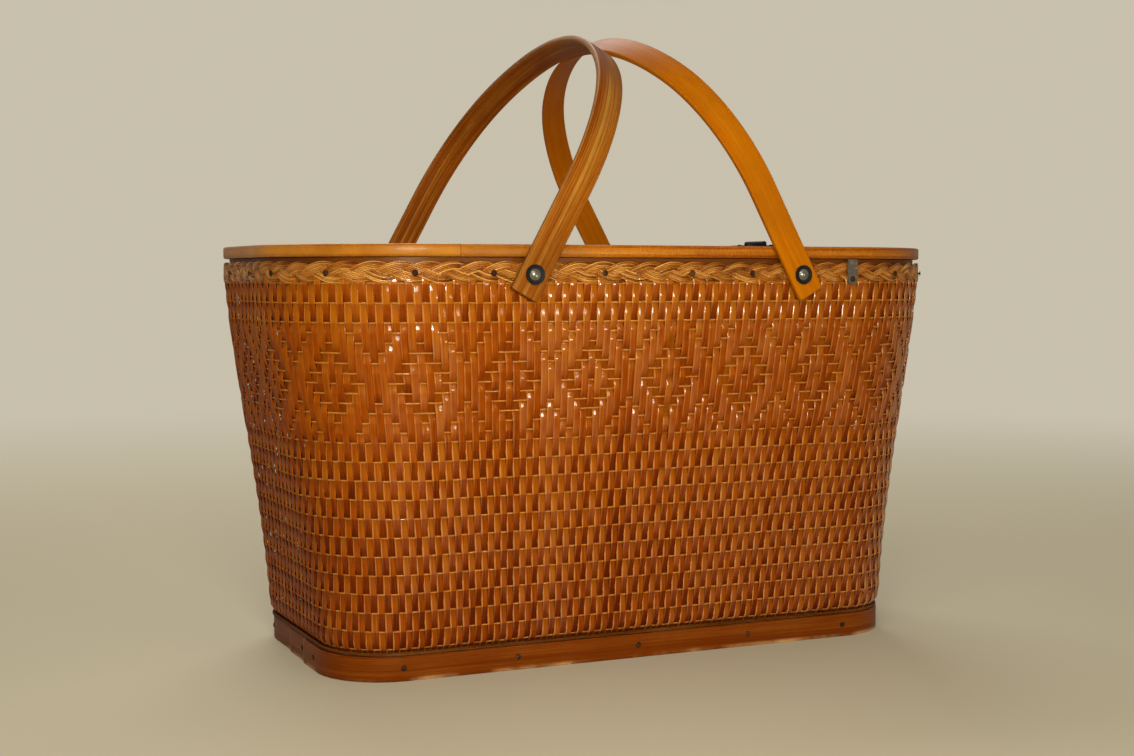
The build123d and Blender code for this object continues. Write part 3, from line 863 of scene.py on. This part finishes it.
def makeFootShadeReed():
    f = footReed
    size = (f["length"], f["width"], f["radius"])
    total = outlineLength(*size)
    dice, rough = random.Random(f["seed"]), f["rough"]
    ring = []
    for s in spaced(-total / 2, total / 2, f["step"])[:-1]:
        x, y = pointOn(*size, s)
        ring.append((x + dice.uniform(-rough, rough), y + dice.uniform(-rough, rough)))
    facingOut(grow("footReed", pathBlank("footReed", [(ring, True)]), bentStrip,
                   {"Thick": f["thick"], "Wide": f["tall"], "Edge": f["edge"],
                    "Place": (0.0, 0.0, f["height"] * mm), "Material": materials["reed"]},
                   "basket"))


makeFootShadeReed()

bow = {"pivotX": 96.8, "pivotZ": 256.2, "inside": 140.9, "thick": 4.1, "wide": 19.0, "leg": 63.3,
       "tail": 14.4, "shoulder": 110.0, "angle": math.radians(55.3), "edge": 0.8, "endRound": 1.2,
       "crownGap": -0.35, "endSteps": (0.0, 0.15, 0.5, 1.0, 1.7, 2.4), "straightFrom": 6.0,
       "legStep": 5.0, "shoulderStep": 0.035, "crownStep": 0.025}  # mm, radians, radians


def bowPath():
    # the bow's middle line in its own plane: x across the basket, y up the bow; and its crown's height
    b = bow
    half = b["inside"] + b["thick"] / 2
    crownRadius = b["shoulder"] + (half - b["shoulder"]) / math.cos(b["angle"])
    crownY = b["leg"] + (b["shoulder"] - crownRadius) * math.sin(b["angle"])
    side = [(half, y - b["tail"]) for y in b["endSteps"]]
    side += [(half, y) for y in spaced(b["straightFrom"] - b["tail"], b["leg"], b["legStep"])]
    side += [(half + b["shoulder"] * (math.cos(t) - 1), b["leg"] + b["shoulder"] * math.sin(t))
             for t in spaced(0, b["angle"], b["shoulderStep"])[1:]]
    side += [(crownRadius * math.cos(t), crownY + crownRadius * math.sin(t))
             for t in spaced(b["angle"], math.pi / 2, b["crownStep"])[1:]]
    return side + [(-x, y) for x, y in reversed(side[:-1])], crownY + crownRadius + b["thick"] / 2


def makeBow(name, side, material):
    b = bow
    path, crown = bowPath()
    lean = math.asin((b["pivotX"] - b["crownGap"] / 2) / math.hypot(crown, b["wide"] / 2)) \
        - math.atan(b["wide"] / 2 / crown)
    # the flat bow is stood up across the basket, then leant towards the middle
    standing = Euler((math.pi / 2, 0, math.pi / 2)).to_matrix()
    turn = (Matrix.Rotation(-side * lean, 3, "Y") @ standing).to_euler()
    facingOut(grow(name + "Bow", pathBlank(name, [(path, False)]), bentStrip,
                   {"Thick": b["thick"], "Wide": b["wide"], "Edge": b["edge"], "End": b["endRound"],
                    "Turn": tuple(turn), "Place": (side * b["pivotX"] * mm, 0.0, b["pivotZ"] * mm),
                    "Material": material}, name + "_handle", [name + "_bow"]))


makeBow("left", -1, materials["brown"])
makeBow("right", 1, materials["orange"])
print("bent wood done")


# plaited trim round the rim: three strands of fine fibres

plait = {"length": 488.4, "width": 274.4, "radius": 102.2, "height": 257.7, "periods": 27, "strands": 3,
         "fibres": 6, "swing": 3.75, "depth": 0.5, "bundle": 3.3, "fibre": 1.0, "flat": 0.85,
         "step": 2.4, "seed": 3}


def plaitTree():
    tree, nt, given, out = newTree("plait", {"Fibres": 6, "Wave": 0.1, "Swing": 4.0, "Depth": 0.6,
                                             "Bundle": 3.0, "Fibre": 1.0, "Flat": 0.8, "Height": 0.0,
                                             "Seed": 0, "Material": None})
    curve = nt.add("GeometryNodeMeshToCurve", None, {0: given["Geometry"]})[0]
    curve = keep(nt, curve, "along", nt.add("GeometryNodeSplineParameter")["Length"])
    tangent = nt.add("GeometryNodeInputTangent")[0]
    curve = keep(nt, curve, "heading", tangent, "FLOAT_VECTOR")
    count = given["Fibres"] * float(plait["strands"])
    seats, index = seatsFor(nt, count)
    strand = (index / given["Fibres"]).floor()
    seats = keep(nt, seats, "strand", strand)
    seats = keep(nt, seats, "spot", ((index - strand * given["Fibres"]) + 0.5) / given["Fibres"] * 2.0 - 1.0)
    curve = copied(nt, seats, curve)

    along, strand, spot = read(nt, "along"), read(nt, "strand"), read(nt, "spot")
    heading = read(nt, "heading", "FLOAT_VECTOR")
    hx, hy = nt.split(heading)[:2]
    stray = nt.noise(nt.vector(along * 0.05, strand * 17.0 + spot * 9.0, given["Seed"] * 1.0), 1.0, 2.0) - 0.5
    loose = nt.noise(nt.vector(along * 0.012, strand * 5.0, 9.0), 1.0, 1.0) - 0.5
    phase = along * given["Wave"] + strand * (2 * math.pi / plait["strands"]) + loose * 0.5
    slope = phase.cosine() * given["Swing"] * given["Wave"]
    steep = (slope * slope + 1.0).power(0.5)
    offset = spot * given["Bundle"] + stray * 0.5
    back = -offset * slope / steep
    up = phase.sine() * given["Swing"] + offset / steep + loose * 0.8
    deep = (phase * 2.0).sine() * given["Depth"] - spot * spot * 0.25 + stray * 0.3
    px, py, pz = nt.split(nt.add("GeometryNodeInputPosition")[0])
    # outwards is to the right of the heading, which runs counter-clockwise seen from above
    place = nt.vector(px + hx * back + hy * deep, py + hy * back - hx * deep, pz + up + given["Height"])
    curve = moveTo(nt, curve, place)
    curve = keep(nt, curve, "rise", (phase * 2.0).sine() * 0.5 + 0.5)
    tone = nt.noise(nt.vector(strand * 19.0 + spot * 25.0, along * 0.01, 1.0), 1.0, 1.0)
    curve = keep(nt, curve, "tone", tone)
    curve = nt.add("GeometryNodeSetCurveNormal", {"mode": "Z_UP"}, {"Curve": curve})[0]
    ring = nt.add("GeometryNodeCurvePrimitiveCircle", {"mode": "RADIUS"},
                  {"Resolution": 6, "Radius": given["Fibre"] * 0.5})[0]
    ring = nt.add("GeometryNodeTransform", None,
                  {"Geometry": ring, "Scale": nt.vector(given["Flat"], 1.0, 1.0)})[0]
    tube = nt.add("GeometryNodeCurveToMesh", None, {"Curve": curve, "Profile Curve": ring})[0]
    fibre = nt.vector(read(nt, "along"), read(nt, "spot") * 3.0, read(nt, "strand"))
    tube = keep(nt, tube, "fibre", fibre, "FLOAT_VECTOR")
    tube = nt.add("GeometryNodeTransform", None, {"Geometry": tube, "Scale": (mm, mm, mm)})[0]
    finishTree(nt, given, tube, out)
    return tree


def makePlait():
    p = plait
    size = (p["length"], p["width"], p["radius"])
    total = outlineLength(*size)
    ring = [pointOn(*size, s) for s in spaced(-total / 2, total / 2, p["step"])][:-1]
    facingOut(grow("plaitedTrim", pathBlank("plait", [(ring, True)]), plaitTree(),
                   {"Fibres": p["fibres"], "Wave": 2 * math.pi * p["periods"] / total, "Swing": p["swing"],
                    "Depth": p["depth"], "Bundle": p["bundle"], "Fibre": p["fibre"], "Flat": p["flat"],
                    "Height": p["height"], "Seed": p["seed"], "Material": materials["braid"]},
                   "basket", ["braid_trim"]))


makePlait()
print("trim plaited")


# finishes of the pieces that keep their CAD shape

finishes = {
    "board": ("bottom_board", "end_board", "lid_board"),
    "hoop": ("inner_hoop",),
    "domeSteel": ("pivot_rivets", "rivet_burrs"),
    "greySteel": ("bracket_front", "bracket_rear"),
    "nailSteel": ("base_nails", "rim_nails", "bracket_nails", "end_leaf_nails", "lid_leaf_nails"),
    "darkSteel": ("left_washers", "right_washers", "front_hinge_fixed", "rear_hinge_fixed",
                  "front_hinge_moving", "rear_hinge_moving", "front_hinge_pin", "rear_hinge_pin"),
}
for key, names in finishes.items():
    for name in names:
        obj = nodes[name]
        obj.data.materials.clear()
        obj.data.materials.append(materials[key])
print("finishes set")


# floor, light and camera

studio = {"floor": (0.50, 0.445, 0.305), "sky": (0.58, 0.53, 0.415), "fill": (1.0, 0.95, 0.86),
          "fillStrength": 0.34, "fadeFrom": 0.45, "fadeTo": 2.2, "half": 12.0}
lamps = {
    "window": {"place": (-0.40, -0.95, 0.36), "aim": (-0.05, -0.1, 0.2), "width": 0.34, "height": 0.09,
               "watts": 1.75, "colour": (1.0, 0.96, 0.91), "spread": 80.0},
    "pane": {"place": (0.24, -1.00, 0.20), "aim": (-0.05, -0.14, 0.2), "width": 0.26, "height": 0.04,
             "watts": 0.5, "colour": (1.0, 0.95, 0.86), "spread": 110.0},
    "ceiling": {"place": (-0.75, -1.05, 1.25), "aim": (-0.05, 0.0, 0.15), "width": 0.8, "height": 0.5,
                "watts": 6.2, "colour": (1.0, 0.95, 0.86), "spread": 180.0},
    "rear": {"place": (0.3, 1.7, 1.9), "aim": (0.0, 0.0, 0.2), "width": 1.6, "height": 1.0,
             "watts": 29.0, "colour": (1.0, 0.98, 0.95), "spread": 180.0},
}


def makeFloor():
    mesh = bpy.data.meshes.new("floor")
    half = studio["half"]
    corners = [(-half, -half, 0), (half, -half, 0), (half, half, 0), (-half, half, 0)]
    mesh.from_pydata(corners, [], [(0, 1, 2, 3)])
    obj = newObject("floor", mesh)
    material, nt, shader = newMaterial("paleFloor", {"Roughness": 0.75, "Specular IOR Level": 0.25})
    place = nt.add("ShaderNodeTexCoord")["Object"]
    cloud = nt.noise(place, 3.0, 4.0, 0.6)
    darker = opaque([c * 0.95 for c in studio["floor"]])
    feed(nt, shader, colour=nt.blend(cloud * 0.4, opaque(studio["floor"]), darker))
    # far from the basket the floor fades into the sky
    x, y = nt.split(place)[:2]
    fade = (x * x + y * y).power(0.5).ease(studio["fadeFrom"], studio["fadeTo"])
    far = nt.add("ShaderNodeEmission", None, {"Color": opaque(studio["sky"]), "Strength": 1.0})
    seen = nt.add("ShaderNodeLightPath")["Is Camera Ray"]
    mixed = nt.add("ShaderNodeMixShader", None, {0: fade * seen, 1: shader, 2: far})
    output = [node for node in material.node_tree.nodes if node.type == "OUTPUT_MATERIAL"][0]
    material.node_tree.links.new(mixed.node.outputs[0], output.inputs["Surface"])
    mesh.materials.append(material)


def makeWorld():
    world = bpy.data.worlds.new("studio")
    bpy.context.scene.world = world
    world.use_nodes = True
    world.node_tree.nodes.clear()
    nt = NodeTree(world.node_tree)
    fill = nt.add("ShaderNodeBackground", None,
                  {"Color": opaque(studio["fill"]), "Strength": studio["fillStrength"]})
    seen = nt.add("ShaderNodeBackground", None, {"Color": opaque(studio["sky"]), "Strength": 1.0})
    path = nt.add("ShaderNodeLightPath")
    mixed = nt.add("ShaderNodeMixShader", None, {0: path["Is Camera Ray"], 1: fill, 2: seen})
    nt.add("ShaderNodeOutputWorld", None, {"Surface": mixed})


def areaLight(name, place, aim, width, height, watts, colour, spread):
    data = bpy.data.lights.new(name, "AREA")
    data.shape, data.size, data.size_y = "RECTANGLE", width, height
    data.energy, data.color, data.spread = watts, colour, math.radians(spread)
    obj = newObject(name, data)
    obj.location = place
    obj.rotation_euler = (Vector(aim) - Vector(place)).to_track_quat("-Z", "Y").to_euler()


makeFloor()
makeWorld()
for name, lamp in lamps.items():
    areaLight(name, **lamp)

view = {"place": (-0.5149, -1.1095, 0.2552), "down": 3.415, "yaw": 24.51,  # m and degrees
        "focal": 1704.7, "width": 1134.0, "sensor": 36.0}                 # pixels, pixels, mm
lens = bpy.data.cameras.new("camera")
lens.sensor_width = view["sensor"]
lens.lens = view["sensor"] * view["focal"] / view["width"]
lens.clip_start, lens.clip_end = 0.02, 60.0
camera = newObject("camera", lens)
camera.location = view["place"]
camera.rotation_euler = (math.radians(90.0 - view["down"]), 0.0, math.radians(-view["yaw"]))
bpy.context.scene.camera = camera
bpy.context.scene.view_settings.view_transform = "Standard"
print("studio set")
